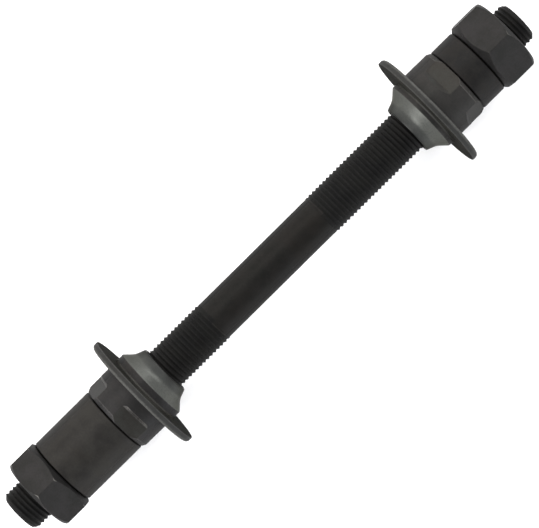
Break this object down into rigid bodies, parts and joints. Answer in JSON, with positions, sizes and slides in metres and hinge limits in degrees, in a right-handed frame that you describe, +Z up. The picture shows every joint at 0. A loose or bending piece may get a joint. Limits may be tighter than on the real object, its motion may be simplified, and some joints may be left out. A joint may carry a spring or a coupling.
{
  "type": "bicycle hub axle",
  "caption": "Hollow threaded rear hub axle with bearing cones, dust caps, spacers and locknuts, blackened steel, for a cup and cone wheel hub held by a quick release skewer.",
  "frame": {"origin": "middle of the axle, on its centreline", "axes": "+Y along the axle, away from the drive side; +Z up as the set lies on its two dust caps; +X across"},
  "size_m": [0.0278, 0.145, 0.0278],
  "materials": {
    "axle_steel": "black oxide, rolled thread, oily satin",
    "cone_steel": "blackened and turned, ball track ground bright",
    "cap_steel": "blackened stamped sheet, satin",
    "spacer_steel": "blackened and turned, satin",
    "nut_steel": "blackened, satin"
  },
  "bodies": {
    "axle": {"axle": "axle_steel"},
    "drive_cap": {"drive_dust_cap": "cap_steel"},
    "drive_cone": {"drive_cone": "cone_steel"},
    "drive_spacer": {"drive_spacer": "spacer_steel"},
    "drive_locknut": {"drive_locknut": "nut_steel"},
    "other_cap": {"other_dust_cap": "cap_steel"},
    "other_cone": {"other_cone": "cone_steel"},
    "other_spacer": {"other_spacer": "spacer_steel"},
    "other_locknut": {"other_locknut": "nut_steel"}
  },
  "joints": [
    {"name": "drive_cone_travel", "type": "slide", "parent": "axle", "child": "drive_cap", "axis": [0, 1, 0], "range_m": [0, 0.014]},
    {"name": "drive_cone_turn", "type": "hinge", "parent": "drive_cap", "child": "drive_cone", "pos_m": [0, -0.0374, 0], "axis": [0, 1, 0], "range_deg": [0, 5040]},
    {"name": "other_cone_travel", "type": "slide", "parent": "axle", "child": "other_cap", "axis": [0, -1, 0], "range_m": [0, 0.0245]},
    {"name": "other_cone_turn", "type": "hinge", "parent": "other_cap", "child": "other_cone", "pos_m": [0, 0.0473, 0], "axis": [0, -1, 0], "range_deg": [0, 8820]},
    {"name": "drive_spacer_slide", "type": "slide", "parent": "axle", "child": "drive_spacer", "axis": [0, -1, 0], "range_m": [0, 0.012]},
    {"name": "drive_locknut_turn", "type": "hinge", "parent": "drive_spacer", "child": "drive_locknut", "pos_m": [0, -0.0637, 0], "axis": [0, -1, 0], "range_deg": [0, 4320]},
    {"name": "other_spacer_slide", "type": "slide", "parent": "axle", "child": "other_spacer", "axis": [0, 1, 0], "range_m": [0, 0.0115]},
    {"name": "other_locknut_turn", "type": "hinge", "parent": "other_spacer", "child": "other_locknut", "pos_m": [0, 0.0647, 0], "axis": [0, 1, 0], "range_deg": [0, 4140]}
  ],
  "couplings": [
    {"joint": "drive_cone_turn", "follows": "drive_cone_travel", "rad_per_m": 6283.2},
    {"joint": "other_cone_turn", "follows": "other_cone_travel", "rad_per_m": 6283.2},
    {"joint": "drive_locknut_turn", "follows": "drive_spacer_slide", "rad_per_m": 6283.2},
    {"joint": "other_locknut_turn", "follows": "other_spacer_slide", "rad_per_m": 6283.2}
  ]
}
